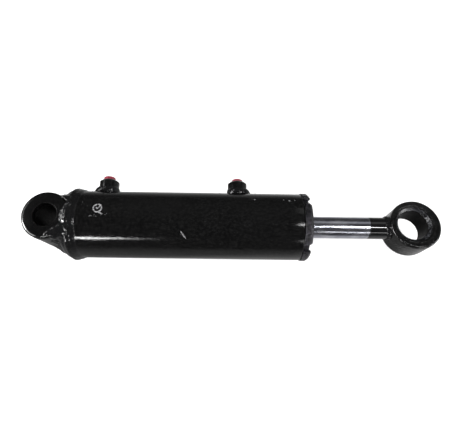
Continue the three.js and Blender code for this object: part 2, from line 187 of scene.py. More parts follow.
def black_paint(name, peel=1.0, grain=1.0, dust=0.35, rough=(0.05, 0.12)):
    """Sprayed gloss enamel: orange peel, grain under the film, dull patches and settled dust."""
    n = Nodes(name)
    patches = n.noise(38, roughness=0.6)
    mottle = n.noise(340, roughness=0.75)
    speckle = n.noise(900, detail=3, roughness=0.75)
    specks = n.span(n.cells(600), 0.0, 0.24, 1.0, 0.0)
    sparse = n.span(n.noise(95, detail=3), 0.48, 0.64)
    dusty = n.math("MULTIPLY", n.math("MULTIPLY", specks, sparse), dust)
    pale = 0.006 * grain
    body = n.mix(n.span(mottle, 0.44, 0.66), (0.0014, 0.0014, 0.0015), (pale, pale, pale))
    body = n.mix(n.span(patches, 0.42, 0.75, 0.0, 0.5), body, (0.0045, 0.0045, 0.0046))
    colour = n.mix(dusty, body, (0.06, 0.06, 0.06))
    dull = n.span(patches, 0.3, 0.75, *rough)
    roughness = n.math("ADD", dull, n.span(mottle, 0.38, 0.7, 0.0, 0.06))
    skin = n.bumps((n.noise(330, detail=2, roughness=0.45), 0.00022 * peel, 0.3),
                   (speckle, 0.00012 * grain, 0.4))
    return n.coat(colour, roughness, skin, IOR=1.5)


def film_on_rod():
    """The overspray's edge over chrome: a thin smooth wet-looking film."""
    n = Nodes("rod_black_paint")
    patches = n.noise(60, roughness=0.6)
    colour = n.mix(n.span(patches, 0.4, 0.7), (0.002, 0.002, 0.0022), (0.006, 0.006, 0.0065))
    skin = n.bumps((n.noise(240, detail=2, roughness=0.45), 0.00012, 0.3))
    return n.coat(colour, n.span(patches, 0.3, 0.75, 0.02, 0.05), skin, IOR=1.75)


def weld_paint():
    """The same enamel lying thick and wet over weld metal, with pinholes and scale specks."""
    n = Nodes("painted_weld")
    patches = n.noise(90, roughness=0.65)
    speckle = n.noise(1000, detail=3, roughness=0.7)
    pits = n.span(n.cells(520), 0.05, 0.22)
    rare = n.span(n.noise(160, detail=1), 0.55, 0.62)
    holes = n.math("MULTIPLY", n.math("SUBTRACT", 1.0, pits), rare)
    colour = n.mix(n.span(speckle, 0.38, 0.68), (0.002, 0.002, 0.0022), (0.0085, 0.0085, 0.009))
    roughness = n.span(patches, 0.3, 0.75, 0.06, 0.2)
    skin = n.bumps((n.noise(260, roughness=0.6), 0.0005, 0.5),
                   (n.math("SUBTRACT", 1.0, holes), 0.0003, 0.6))
    return n.coat(colour, roughness, skin, IOR=1.52)


def gland_metal():
    """Coarse turned iron, phosphated violet-grey, half hidden by thin black overspray."""
    n = Nodes("gland_metal")
    mottle = n.noise(330, detail=5, roughness=0.75)
    grain = n.noise(1300, detail=3, roughness=0.7)
    turned = n.noise((1700, 30, 30), detail=2)
    blotch = n.span(n.math("ADD", mottle, n.math("MULTIPLY", grain, 0.5)), 0.74, 0.85)
    colour = n.mix(blotch, (0.0012, 0.0012, 0.0016), (0.047, 0.044, 0.054))
    pits = n.span(n.cells(560), 0.1, 0.32)
    colour = n.mix(n.span(pits, 0.0, 1.0, 1.0, 0.0), colour, (0.002, 0.002, 0.0023))
    skin = n.bumps((mottle, 0.0018, 0.7), (grain, 0.00018, 0.9), (turned, 0.0001, 0.4),
                   (pits, 0.0003, 0.6))
    return n.coat(colour, n.span(mottle, 0.3, 0.7, 0.42, 0.2), skin, Metallic=0.3)


def hard_chrome():
    """Ground and plated bar: rings from grinding, long soft waves and faint handling smears."""
    n = Nodes("chromed_rod")
    rings = n.noise((5200, 60, 60), detail=3, roughness=0.7)
    waves = n.noise((55, 240, 240), detail=2, distortion=0.6)
    smears = n.noise((45, 180, 180), roughness=0.65)
    colour = n.mix(n.span(smears, 0.4, 0.66), (0.43, 0.44, 0.5), (0.77, 0.78, 0.84))
    roughness = n.span(n.math("ADD", smears, n.math("MULTIPLY", rings, 0.4)), 0.5, 1.0, 0.15, 0.27)
    skin = n.bumps((waves, 0.0002, 0.3), (rings, 0.000008, 0.5))
    return n.coat(colour, roughness, skin, Metallic=1.0)


def red_polyethylene():
    """Soft moulded shipping plug: waxy, slightly cloudy, scuffed on its dome."""
    n = Nodes("red_plug_plastic")
    cloud = n.noise(260, detail=3)
    scuff = n.span(n.noise((1400, 500, 900), roughness=0.7), 0.58, 0.75)
    colour = n.mix(cloud, (0.15, 0.006, 0.018), (0.27, 0.018, 0.042))
    colour = n.mix(n.math("MULTIPLY", scuff, 0.45), colour, (0.5, 0.22, 0.25))
    skin = n.bumps((n.noise(1700, detail=2), 0.00006, 0.6))
    return n.coat(colour, n.span(cloud, 0.3, 0.7, 0.3, 0.48), skin, Subsurface_Weight=0.12,
                  Subsurface_Scale=0.002, IOR=1.5)


def turned_metal(name, dark, bright, rough, lines):
    """Machined metal with tool rings about X and slight staining."""
    n = Nodes(name)
    rings = n.noise((lines, 40, 40), detail=3, roughness=0.6)
    stain = n.noise(110, roughness=0.6)
    colour = n.mix(n.span(stain, 0.35, 0.7), dark, bright)
    skin = n.bumps((rings, 0.00004, 0.7))
    return n.coat(colour, n.span(stain, 0.3, 0.7, *rough), skin, Metallic=1.0)


def seal_material(name, dark, bright, rough, weave=0.0):
    """Moulded seal stock, or woven bearing resin when weave is above 0."""
    n = Nodes(name)
    cloud = n.noise(300, detail=3)
    colour = n.mix(cloud, dark, bright)
    layers = [(n.noise(1800, detail=2), 0.00005, 0.5)]
    if weave:
        warp, weft = (n.add("ShaderNodeTexWave", {"Vector": n.place, "Scale": weave},
                            bands_direction=axis).outputs["Fac"] for axis in "XZ")
        cloth = n.math("MULTIPLY", warp, weft)
        colour = n.mix(cloth, colour, tuple(0.45 * c for c in dark))
        layers.append((cloth, 0.0001, 0.6))
    return n.coat(colour, n.span(cloud, 0.3, 0.7, *rough), n.bumps(*layers))


def bore_oxide_and_shade():
    """Near-black bore wall of thin paint over brown oxide, rubbed through in places, with little
    shine: painted shade for the eye's bore and for the deep part of the cross tube's.
    """
    n = Nodes("bore_oxide_and_shade")
    mottle = n.noise(210, detail=5, roughness=0.7)
    rubbed = n.noise((300, 300, 90), roughness=0.6)
    colour = n.mix(n.span(mottle, 0.42, 0.62), (0.001, 0.001, 0.001), (0.006, 0.0055, 0.0053))
    colour = n.mix(n.span(rubbed, 0.6, 0.72, 0.0, 0.5), colour, (0.035, 0.033, 0.032))
    skin = n.bumps((n.noise(900, roughness=0.7), 0.00015, 0.7))
    return n.coat(colour, n.span(mottle, 0.3, 0.7, 0.3, 0.55), skin, Specular_IOR_Level=0.06)


def rubbed_edge_highlight():
    """The bush's lead-in: enamel that pins have rubbed, with streaks of lighter grey that paint the
    highlight along its chamfer.
    """
    n = Nodes("rubbed_edge_highlight")
    streaks = n.noise((120, 320, 500), detail=5, roughness=0.7, distortion=1.5)
    worn = n.span(streaks, 0.5, 0.66)
    # the lighter grey streaks are a painted highlight
    colour = n.mix(worn, (0.003, 0.003, 0.0035), (0.075, 0.077, 0.085))
    skin = n.bumps((streaks, 0.0006, 0.6))
    return n.coat(colour, n.span(worn, 0.0, 1.0, 0.1, 0.3), skin, Metallic=0.2)


def chalky(name, pale):
    """Dry grey-white paint worn through in patches, for the inspection mark, and a pale grey that
    paints glints.
    """
    n = Nodes(name)
    worn = n.noise(700, roughness=0.7)
    colour = n.mix(n.span(worn, 0.42, 0.6), (0.03, 0.03, 0.031), (pale, pale, 1.03 * pale))
    skin = n.bumps((worn, 0.0001, 0.6))
    return n.coat(colour, 0.45, skin)


def floor_paper():
    """A plain pale sweep with the faintest tooth."""
    n = Nodes("floor_paper")
    tone = n.mix(n.noise(6, detail=2), (0.5, 0.5, 0.5), (0.53, 0.53, 0.53))
    tooth = n.bumps((n.noise(900, detail=2), 0.00005, 0.2))
    return n.coat(tone, 0.85, tooth, Specular_IOR_Level=0.0, Emission_Color=(1.0, 1.0, 1.0),
                  Emission_Strength=0.66)


PAINT = black_paint("gloss_black_paint")
THICK_PAINT = black_paint("thick_black_paint", peel=6.0, grain=1.5, dust=1.0, rough=(0.03, 0.14))
DULL_PAINT = black_paint("pin_tube_paint", peel=1.6, grain=0.45, dust=0.2, rough=(0.1, 0.24))
ROD_PAINT = film_on_rod()
WELD = weld_paint()
CHROME = hard_chrome()
# near-black painted shade for the insides of bores
BORE_SHADE = bore_oxide_and_shade()
RUBBED_HIGHLIGHT = rubbed_edge_highlight()
MARK = chalky("inspection_mark", 0.3)
# a pale grey for painted glints on the barrel
GLINT_GREY = chalky("pale_glint_grey", 0.26)
STEEL = turned_metal("bare_steel", (0.3, 0.3, 0.31), (0.5, 0.51, 0.53), (0.25, 0.42), 3000)
IRON = turned_metal("cast_iron_piston", (0.09, 0.09, 0.095), (0.17, 0.17, 0.175), (0.4, 0.6), 1600)
RUBBER = seal_material("seal_rubber", (0.011, 0.011, 0.012), (0.022, 0.022, 0.023), (0.5, 0.7))
URETHANE = seal_material("seal_polyurethane", (0.035, 0.1, 0.3), (0.06, 0.16, 0.42), (0.25, 0.4))
RESIN = seal_material("bearing_resin", (0.2, 0.13, 0.05), (0.34, 0.24, 0.11), (0.45, 0.6), weave=260)

SLOT_MATERIALS = {
    "gloss_black_paint": PAINT, "painted_weld": WELD, "gland_metal": gland_metal(),
    "red_plug_plastic": red_polyethylene(), "bearing_resin": RESIN,
    "seal_polyurethane": URETHANE, "seal_rubber": RUBBER, "chromed_rod": CHROME,
    "cast_iron_piston": IRON, "bare_steel": STEEL,
}


# ---- mesh helpers ----

def add_object(name, data):
    made = bpy.data.objects.new(name, data)
    bpy.context.scene.collection.objects.link(made)
    return made


def new_mesh(name, points, faces):
    """A mesh from points in millimetres."""
    mesh = bpy.data.meshes.new(name)
    mesh.from_pydata([Vector(p) * MM for p in points], [], faces)
    return mesh


def turn_outward(mesh, dissolve=False):
    """Turns all faces outward and, if asked, first takes out edges that have no length."""
    tidy = bmesh.new()
    tidy.from_mesh(mesh)
    if dissolve:
        bmesh.ops.dissolve_degenerate(tidy, dist=1e-7, edges=tidy.edges)
    bmesh.ops.recalc_face_normals(tidy, faces=tidy.faces)
    if tidy.calc_volume(signed=True) < 0:
        bmesh.ops.reverse_faces(tidy, faces=tidy.faces)
    tidy.to_mesh(mesh)
    tidy.free()


def shade_smooth(mesh, sharp=38):
    """Smooth shading, with a crease where faces meet at more than this many degrees."""
    mesh.polygons.foreach_set("use_smooth", [True] * len(mesh.polygons))
    mesh.set_sharp_from_angle(angle=radians(sharp))


def tool_object(name, points, faces):
    """An object for modifiers to work with. Whoever asks for it removes it."""
    mesh = new_mesh(name, points, faces)
    turn_outward(mesh)
    return add_object(name, mesh)


def modified_mesh(source):
    """A new mesh of the object as its modifiers shape it."""
    depsgraph = bpy.context.evaluated_depsgraph_get()
    return bpy.data.meshes.new_from_object(source.evaluated_get(depsgraph))


def piece(name, points, faces, replaces=(), body="barrel", slot="gloss_black_paint",
          materials=None, sharp=38, indices=None):
    """A closed piece riding on a body, from points in millimetres."""
    mesh = new_mesh(name, points, faces)
    for material in materials or [SLOT_MATERIALS[slot]]:
        mesh.materials.append(material)
    if indices:
        mesh.polygons.foreach_set("material_index", indices)
    return piece_of(name, mesh, replaces, body, sharp)


def piece_of(name, mesh, replaces, body, sharp):
    turn_outward(mesh, dissolve=True)
    shade_smooth(mesh, sharp)
    made = add_object(name, mesh)
    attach(made, body)
    if replaces:
        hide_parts(*replaces)
    return made


def rounded(corners, closed=True, steps=5):
    """A profile with arcs: each corner is (along, radius) or (along, radius, corner radius)."""
    points = []
    count = len(corners)
    for i, corner in enumerate(corners):
        here = Vector(corner[:2])
        radius = corner[2] if len(corner) > 2 else 0
        if not radius or (not closed and i in (0, count - 1)):
            points.append(tuple(here))
            continue
        back = Vector(corners[i - 1][:2]) - here
        ahead = Vector(corners[(i + 1) % count][:2]) - here
        half = back.angle(ahead) / 2
        reach = min(radius / tan(half), 0.48 * back.length, 0.48 * ahead.length)
        start, end = here + back.normalized() * reach, here + ahead.normalized() * reach
        true_radius = reach * tan(half)
        inward = (back.normalized() + ahead.normalized()).normalized()
        centre = here + inward * (true_radius / sin(half))
        first, last = start - centre, end - centre
        turn = first.angle_signed(last)
        for k in range(steps + 1):
            arm = first.copy()
            arm.rotate(Matrix.Rotation(-turn * k / steps, 2))
            points.append(tuple(centre + arm))
    return points


def finely(profile, longest, closed=True):
    """The profile with its long stretches cut up, so a surface wave has points to move."""
    points = []
    pairs = list(zip(profile, profile[1:] + (profile[:1] if closed else [])))
    for (t0, r0), (t1, r1) in pairs:
        parts = max(1, ceil(hypot(t1 - t0, r1 - r0) / longest))
        points += [(t0 + (t1 - t0) * k / parts, r0 + (r1 - r0) * k / parts) for k in range(parts)]
    return points if closed else points + [profile[-1]]


def about_x(along, radius, angle):
    """Angles run from +Z towards +Y."""
    return Vector((along, radius * sin(angle), radius * cos(angle)))


def about_y(along, radius, angle):
    return Vector((radius * cos(angle), along, radius * sin(angle)))


def about_z(along, radius, angle):
    return Vector((radius * cos(angle), radius * sin(angle), along))


def quads(rows, size, rows_close=True, row_closes=True):
    """Faces between rows of points that follow one another, size points to a row."""
    faces = []
    for k in range(rows if rows_close else rows - 1):
        here, following = k * size, (k + 1) % rows * size
        for i in range(size if row_closes else size - 1):
            j = (i + 1) % size
            faces.append((here + i, here + j, following + j, following + i))
    return faces


def joined(parts):
    """The points and faces of several closed meshes, as one."""
    points, faces = [], []
    for more_points, more_faces in parts:
        base = len(points)
        points += more_points
        faces += [tuple(base + i for i in face) for face in more_faces]
    return points, faces


def turned(profile, steps, axis=about_x, closed=True, wave=None, place=None):
    """Points and faces of a profile turned about an axis. An open profile ends in two poles."""
    points = []
    count = len(profile)
    for k in range(steps):
        angle = TAU * k / steps
        for along, radius in profile:
            shift = wave(along, radius, angle) if wave else 0
            points.append(axis(along, radius + shift, angle))
    faces = quads(steps, count, row_closes=closed)
    if not closed:
        for i in (0, count - 1):
            ring = [k * count + i for k in range(steps)]
            points.append(axis(profile[i][0], 0, 0))
            pole = len(points) - 1
            faces += [(ring[k], ring[(k + 1) % steps], pole) for k in range(steps)]
    if place:
        points = [place @ p for p in points]
    return points, faces


def rough(scale, amount, seed):
    """A surface wave from noise, in millimetres."""
    def wave(along, radius, angle):
        return amount * noise.noise(about_x(along, radius, angle) * scale + Vector((seed, 0, 0)))
    return wave


def face_mean(points, face, measure):
    return sum(measure(points[i]) for i in face) / len(face)


def off_z(point):
    return hypot(point.x, point.y)


def clamped(x):
    return min(1.0, max(0.0, x))


def smooth_step(x):
    x = clamped(x)
    return x * x * (3 - 2 * x)


# ---- weld beads ----

def ripple(along, across):
    """Height from 0 to 1 of overlapping puddles: along counts them, across runs from -1 to 1."""
    phase = (along + 0.42 * across * across) % 1.0
    return (1 - phase) ** 0.6 * min(1.0, phase * 9)


def fillet_bead(path, spots, ripples, amount, seed, bulge, section=14, rough_amount=0.18):
    """A closed weld fillet. path(u) gives the corner, the two faces' outward normals and the
    lengths of the two legs; the bead lies against both faces."""
    root_depth = 0.9
    points = []
    for k in range(spots):
        u = k / spots
        corner, first, second, first_leg, second_leg = path(u)
        for i in range(section + 1):
            s = i / section
            angle = s * pi / 2
            chord = Vector((1 - s, s))
            arc = Vector((cos(angle), sin(angle)))
            shape = chord.lerp(arc, bulge)
            body_height = sin(pi * s)
            lift = amount * (ripple(u * ripples, 2 * s - 1) - 0.5) * body_height
            out, up = first * shape.x * first_leg, second * shape.y * second_leg
            spot = corner + out + up
            uneven = rough_amount * noise.noise(spot * 0.35 + Vector((seed, 0, 0)))
            wander = 1 + 0.1 * noise.noise(spot * 0.16 + Vector((0, seed, 0)))
            push = (first + second).normalized() * (lift + uneven * body_height)
            points.append(corner + out * wander + up * wander + push)
        points.append(corner - (first + second) * root_depth)
    return points, quads(spots, section + 2)


# ---- base end ----

CAP_SKIRT, CAP_SHOULDER_X, CAP_SHOULDER = 33.5, 19.0, 37.1
CAP_TAPER = 11                       # over this length the skirt widens to the shoulder
CROWN = {"start": 12.6, "end": 31.8, "height": 2.5}
SHOULDERS = {1: 33.6, -1: 33.0}      # how far the welds stand out beside the cross tube


def make_base_cap():
    """The cap's tapered skirt and its spigot, hollowed by the cross tube."""
    spigot, inner_end, axis_radius = BORE_RADIUS - 0.3, 44, 0.01
    profile = rounded([(CAP_START, 0), (CAP_START, CAP_SKIRT, 1.5),
                       (CAP_SHOULDER_X, CAP_SHOULDER, 0.5), (TUBE_START - 0.7, spigot),
                       (inner_end - 1, spigot, 0.5), (inner_end, BORE_RADIUS - 1.3, 0.3),
                       (inner_end, 0)], closed=False)
    profile = [(x, max(r, axis_radius)) for x, r in profile]
    cap = piece("base_cap", *turned(profile, 160, closed=False), ["base_end_cap"])
    reach, hollow = 60, CROSS_RADIUS - 0.3
    cutter = tool_object("cutter", *turned([(-reach, hollow), (reach, hollow)], 160, about_z,
                                           closed=False))
    cut = cap.modifiers.new("hollow", "BOOLEAN")
    cut.operation = "DIFFERENCE"
    cut.solver = "EXACT"
    cut.object = cutter
    hollowed = modified_mesh(cap)
    cap.modifiers.clear()
    cap.data = hollowed
    shade_smooth(hollowed)
    bpy.data.objects.remove(cutter)


def make_cross_tube():
    """A band of paint ran in behind the rounded mouth; the mouth's edge and the bore deeper than
    that band take the near-black bore material, which deep inside is painted shade.
    """
    half, mouth, shade_depth = CROSS_HALF, 0.9, 8
    profile = rounded([(-half, CROSS_BORE, mouth), (-half, CROSS_RADIUS, 4.4),
                       (half, CROSS_RADIUS, 4.4), (half, CROSS_BORE, mouth)], steps=8)
    uneven = rough(0.09, 0.3, 3.0)
    points, faces = turned(finely(profile, 3), 160, about_z,
                           wave=lambda z, r, a: uneven(z, r, a) if r > CROSS_BORE + 4 else 0)
    # Index 1 is the near-black bore material: round the mouth's edge, and deeper than 8 mm as
    # painted shade.
    indices = []
    for face in faces:
        in_bore = face_mean(points, face, off_z) < CROSS_BORE + mouth
        depth = half - face_mean(points, face, lambda p: abs(p.z))
        indices.append(1 if in_bore and not mouth < depth < shade_depth else 0)
    piece("cross_tube", points, faces, ["base_cross_tube"], materials=[DULL_PAINT, BORE_SHADE],
          indices=indices)


def crown_radius(x, share):
    """Radius of the cap and the ring weld on it, without the ripples, this share of the way
    across the weld."""
    foot = min(BARREL_RADIUS, CAP_SKIRT + (x - CAP_START) * (CAP_SHOULDER - CAP_SKIRT) / CAP_TAPER)
    return foot + CROWN["height"] * sin(pi * share) ** 0.85


def ring_weld():
    """The broad weld round the cap: three runs of puddles side by side, with uneven toes."""
    puddles = 66
    steps, section = puddles * 8, 30
    points = []
    for k in range(steps):
        angle = TAU * k / steps
        sway = 0.8 * noise.noise(Vector((3 * cos(angle), 3 * sin(angle), 5)))
        start, end = CROWN["start"] + sway, CROWN["end"] + 0.7 * sway
        for i in range(section + 1):
            s = i / section
            x = start + (end - start) * s
            swell = sin(pi * s)
            lift = 0.34 * (ripple(puddles * k / steps, 2 * s - 1) - 0.5) * swell
            uneven = 0.3 * noise.noise(about_x(x, BARREL_RADIUS, angle) * 0.14) * swell
            slump = 0.35 * swell * smooth_step((x - 30) / -9)
            runs = 0.7 * (abs(sin(3 * pi * s + 0.4 * sway)) - 0.64) * swell
            radius = crown_radius(x, s) + lift + uneven + slump + runs - 0.1
            points.append(about_x(x, radius, angle))
        points.append(about_x(end - 3, BORE_RADIUS + 3, angle))
        points.append(about_x(start + 3, BORE_RADIUS - 1, angle))
    return points, quads(steps, section + 3)


def cross_weld_path():
    """The line round which the cross tube meets the cap: over one end of the tube, where the
    ring weld laps onto its face, down one side, over the other end and back."""
    edge = acos(CAP_START / CROSS_RADIUS)
    edge_y = CROSS_RADIUS * sin(edge)
    edge_z = sqrt(CAP_SKIRT ** 2 - edge_y ** 2)
    lap_y = 11.5
    cap_leg_between, tube_leg_between = 6.0, 5.0     # where one stretch hands on to the next

    def down_the_cap(x, y, z):
        """The way the cap's surface falls off beside the tube at a point of the line."""
        radius = hypot(y, z)
        normal = Vector((-0.38, 0.92 * y / radius, 0.92 * z / radius))
        away = Vector((x, y, 0)).normalized()
        return (away - normal * away.dot(normal)).normalized()

    def over_end(v, side):
        angle = edge * (1 - 2 * v) * side
        tube_x, y = CROSS_RADIUS * cos(angle), CROSS_RADIUS * sin(angle)
        share = clamped((tube_x - CROWN["start"]) / (CROWN["end"] - CROWN["start"]))
        cap_z = sqrt(crown_radius(tube_x, share) ** 2 - y ** 2)
        x = min(tube_x, 17.4 + 5.6 * (y / lap_y) ** 2)
        z = min(cap_z, CROSS_HALF - 0.3)
        lap = smooth_step((abs(y) - lap_y - 3) / -5)
        beside = smooth_step(4.0 * min(v, 1 - v))
        down_cap = down_the_cap(tube_x, y, cap_z)
        up_wall = Vector((0, 0, 1)).lerp(Vector((-1, 0.3 * y / lap_y, 0.02)), lap).normalized()
        up_crown = down_cap.lerp(Vector((0.92, 0.1 * y / lap_y, 0.38)), lap).normalized()
        wall_leg = max(1.2, min(6.0, CROSS_HALF - 0.4 - z)) * (1 - lap) + 3.4 * lap
        cap_leg = 6.2 * (1 - lap) + 4.4 * lap
        up_wall.z *= side
        up_crown.z *= side
        along = Vector((-0.97, copysign(0.24, y), 0))
        return (Vector((x, y, z * side)), up_crown, along.lerp(up_wall, beside).normalized(),
                cap_leg_between + (cap_leg - cap_leg_between) * beside,
                tube_leg_between + (wall_leg - tube_leg_between) * beside)

    def down_side(v, side):
        z = edge_z * (2 * v - 1) * side
        reach = (sqrt(SHOULDERS[side] ** 2 - z ** 2) - edge_y) / 0.95
        full = {1: 14.0, -1: 10.0}[side]
        tube_leg = tube_leg_between + (full - tube_leg_between) * (1 - (z / edge_z) ** 2)
        bend = smooth_step((abs(z) / edge_z - 0.45) / 0.55)
        outward = Vector((cos(edge), side * sin(edge), 0))
        first = outward.lerp(down_the_cap(CAP_START, side * edge_y, z), bend).normalized()
        return (Vector((CAP_START, side * edge_y, z)), first,
                Vector((-0.97, side * 0.24, 0)).normalized(), max(cap_leg_between, reach),
                tube_leg)

    def path(u):
        part, v = divmod(u * 4, 1.0)
        stretch, side = {0: (over_end, 1), 1: (down_side, -1), 2: (over_end, -1),
                         3: (down_side, 1)}[part]
        return stretch(v, side)
    return path


def end_lap():
    """Puddles of weld that ran up over the edge of the cross tube's end, on the side away from
    the ports."""
    along, out = Vector((0.824, 0.566, 0)), Vector((0.566, -0.824, 0))
    first, length, puddles = Vector((1.5, -18.1, CROSS_HALF - 6.3)), 20.5, 17
    ball = [(-cos(pi * i / 10), sin(pi * i / 10)) for i in range(1, 10)]
    parts = []
    for k in range(puddles):
        t = k / (puddles - 1)
        size = 0.5 + 0.5 * smooth_step(t / 0.3)
        spot = first + along * length * t + out * (2.5 + 2.5 * size)
        height = 7.5 + 0.7 * noise.noise(Vector((t * 9, 2, 0)))
        points, faces = turned(ball, 20, about_z, closed=False)
        points = [spot + along * p.x * 3.0 + out * p.y * 8.0 * size + Vector((0, 0, p.z * height))
                  for p in points]
        parts.append((points, faces))
    return joined(parts)


def make_base_welds():
    """The ring weld, the fillet round the cross tube and the lap over its end, flowed together
    as one smooth run."""
    fillet = fillet_bead(cross_weld_path(), 560, 78, 0.6, 4.0, bulge=0.2, section=16,
                         rough_amount=0.45)
    source = tool_object("base_welds", *joined([ring_weld(), fillet, end_lap()]))
    blend = source.modifiers.new("blend", "REMESH")
    blend.mode = "VOXEL"
    blend.voxel_size = 0.6 * MM
    soften = source.modifiers.new("soften", "SMOOTH")
    soften.factor = 0.5
    soften.iterations = 7
    blended = modified_mesh(source)
    bpy.data.objects.remove(source)
    blended.materials.clear()
    blended.materials.append(WELD)
    replaced = ["base_cap_weld", "cross_tube_weld_port_side", "cross_tube_weld_far_side"]
    piece_of("base_welds", blended, replaced, "barrel", 80)


# ---- barrel and ports ----

def make_barrel():
    profile = rounded([(TUBE_START, BORE_RADIUS, 0.2), (TUBE_END, BORE_RADIUS, 0.2),
                       (TUBE_END, BARREL_RADIUS, 0.9), (31.0, BARREL_RADIUS, 0.4),
                       (TUBE_START, BORE_RADIUS + 0.6, 0.1)])
    piece("barrel", *turned(finely(profile, 12), 240, wave=rough(0.03, 0.06, 11.0)),
          ["barrel_tube"])


def make_port(end, x, seed):
    """A boss with a countersink, and its bead, which spreads on the side away from the other
    port."""
    face, hole = 5.8, 4.5
    boss = rounded([(33, hole), (33, PORT_RADIUS), (51.2, PORT_RADIUS, 0.9), (PORT_TOP, 8.2, 0.4),
                    (PORT_TOP, 7.1, 0.1), (PORT_TOP - 1.3, face), (43, face), (41.7, hole)])
    points, faces = turned(boss, 96, about_y, place=Matrix.Translation((x, 0, 0)))
    piece(f"{end}_boss", points, faces, [f"{end}_port_boss"])
    lean = {"base": -1, "rod": 1}[end]

    def path(u):
        angle = TAU * u
        z = PORT_RADIUS * sin(angle)
        y = sqrt(BARREL_RADIUS ** 2 - z ** 2)
        side = Vector((cos(angle), 0, sin(angle)))
        up = Vector((0, y, z)).normalized()
        lobe = max(0.0, lean * cos(angle)) ** 1.5
        foot = 1.4 + 3.5 * lobe + 0.3 * sin(angle * 3 + seed)
        return Vector((x, y, z)) + Vector((PORT_RADIUS * cos(angle), 0, 0)), side, up, foot, 6.6
    points, faces = fillet_bead(path, 324, 27, 0.75, seed, bulge=0.6)
    piece(f"{end}_port_bead", points, faces, [f"{end}_port_weld"], slot="painted_weld", sharp=70)


def make_plug(end, x, seed):
    """A hollow stem under a domed head with a sprue pip and grip notches round its rim."""
    head, notches, axis_radius = PORT_TOP + 0.1, 24, 0.02
    dome = rounded([(head - 9, 4.0), (head - 9, 5.3, 0.3), (head, 5.5), (head, 6.6, 0.3),
                    (head + 2.4, 6.7, 0.5), (head + 3.6, 5.4, 1.2), (head + 4.1, 1.6, 0.4),
                    (head + 3.5, 1.1, 0.2), (head + 3.5, axis_radius)], closed=False)
    dome += [(head + 1.2, axis_radius), (head + 1.2, 4.0)]

    def notch(along, radius, angle):
        if radius < 6.2 or along < head + 0.2:
            return 0
        return -0.22 * (0.5 + 0.5 * cos(notches * angle + seed)) ** 3
    place = Matrix.Translation((x, 0, 0)) @ Matrix.Rotation(radians(1.5 * seed), 4, "X")
    plug = piece(f"{end}_plug", *turned(dome, 192, about_y, wave=notch, place=place),
                 [f"{end}_port_plug"], slot="red_plug_plastic")
    plug.visible_glossy = False


# ---- gland ----

def make_gland():
    """The gland's turned body. Its flange ends in a rim that four slots with worn edges cut
    right through."""
    floor, half_width, worn = GLAND_RADIUS - 5, 5.3, 1.5
    end = GLAND_END - 1.2
    bore, neck, wide_bore, seal_bore = 12.9, BORE_RADIUS - 0.4, 17.9, 15.4
    inner = rounded([(189.5, bore), (189.5, 22, 0.8), (213, 22, 0.5), (213, neck, 0.5),
                     (216, neck), (216, 27.6, 0.3), (223, 27.6, 0.3), (223, neck)], closed=False)
    flange = rounded([(GLAND_START, neck, 0.1), (GLAND_START, GLAND_RADIUS, 0.5),
                      (end - 3, GLAND_RADIUS, 1.2), (end, GLAND_RADIUS - 2.6, 0.9),
                      (end, floor + 0.2, 0.5), (GLAND_FACE, floor - 0.2, 0.4),
                      (GLAND_FACE, 16, 0.4), (GLAND_FACE - 2, 16)], closed=False)
    bores = [(279.2, wide_bore), (272.2, wide_bore), (272.2, bore), (256, bore),
             (256, wide_bore), (247, wide_bore), (247, bore), (238, bore), (238, seal_bore),
             (222, seal_bore), (222, bore)]
    profile = inner + finely(flange, 1.5, closed=False) + bores
    wide = degrees(asin(half_width / floor))
    edge_turns = [radians(a) for a in (0, 22, 45, 67, 90)]
    edge_step, edge_width, slot_steps, land_steps = 0.35, 2.2, 8, 56
    spokes = []
    for centre in GLAND_SLOT_ANGLES:
        spokes += [(centre - wide + 2 * wide * i / slot_steps, centre, None)
                   for i in range(slot_steps + 1)]
        first, last = centre + wide, centre + 90 - wide
        spokes += [(first + edge_step * (k + 1), centre, turn) for k, turn in enumerate(edge_turns)]
        start, span = first + edge_width, last - first - 2 * edge_width
        spokes += [(start + span * i / land_steps, centre, "land") for i in range(land_steps + 1)]
        spokes += [(last - edge_step * (5 - k), centre + 90, turn)
                   for k, turn in enumerate(reversed(edge_turns))]
    points = []
    for bearing, centre, kind in spokes:
        side = 1 if bearing > centre else -1
        for x, r in profile:
            angle, radius = radians(bearing), r
            if r > floor - 0.3 and x > GLAND_START - 0.1 and kind != "land":
                if kind is None:
                    radius = min(r, floor / cos(radians(bearing - centre)))
                    x = min(x, GLAND_FACE)
                else:
                    drop = worn * (1 - sin(kind))
                    offset = half_width + worn * (1 - cos(kind))
                    radius = max(min(r, floor), r - drop)
                    angle = radians(centre) + side * asin(offset / max(r, floor))
                    x -= drop * max(0.0, (x - GLAND_FACE) / (end - GLAND_FACE))
            lumpy = 0.16 * noise.noise(about_x(x, radius, angle) * 0.45) if radius > 33 else 0
            points.append(about_x(x, radius + lumpy, angle))
    piece("gland", points, quads(len(spokes), len(profile)), ["gland_nut"], slot="gland_metal",
          sharp=32)


def make_wiper():
    end, start, heel, lip = GLAND_FACE, 272.6, 278.8, 12.75
    profile = rounded([(start, 13.6, 0.3), (start, 17.5, 0.3), (heel, 17.5, 0.3), (heel, 15.5, 0.3),
                       (end - 0.3, 14.7, 0.5), (end + 0.8, 13.3, 0.3), (end + 0.7, lip, 0.15),
                       (end - 2.4, lip, 0.3)])
    piece("wiper", *turned(profile, 128), ["rod_wiper"], slot="seal_rubber")


# ---- rod and eye ----

PAINT_START = 353.5
EYE_PLACE = Matrix.Rotation(EYE_TURN, 4, "X") @ Matrix.Translation((EYE_X, 0, 0))


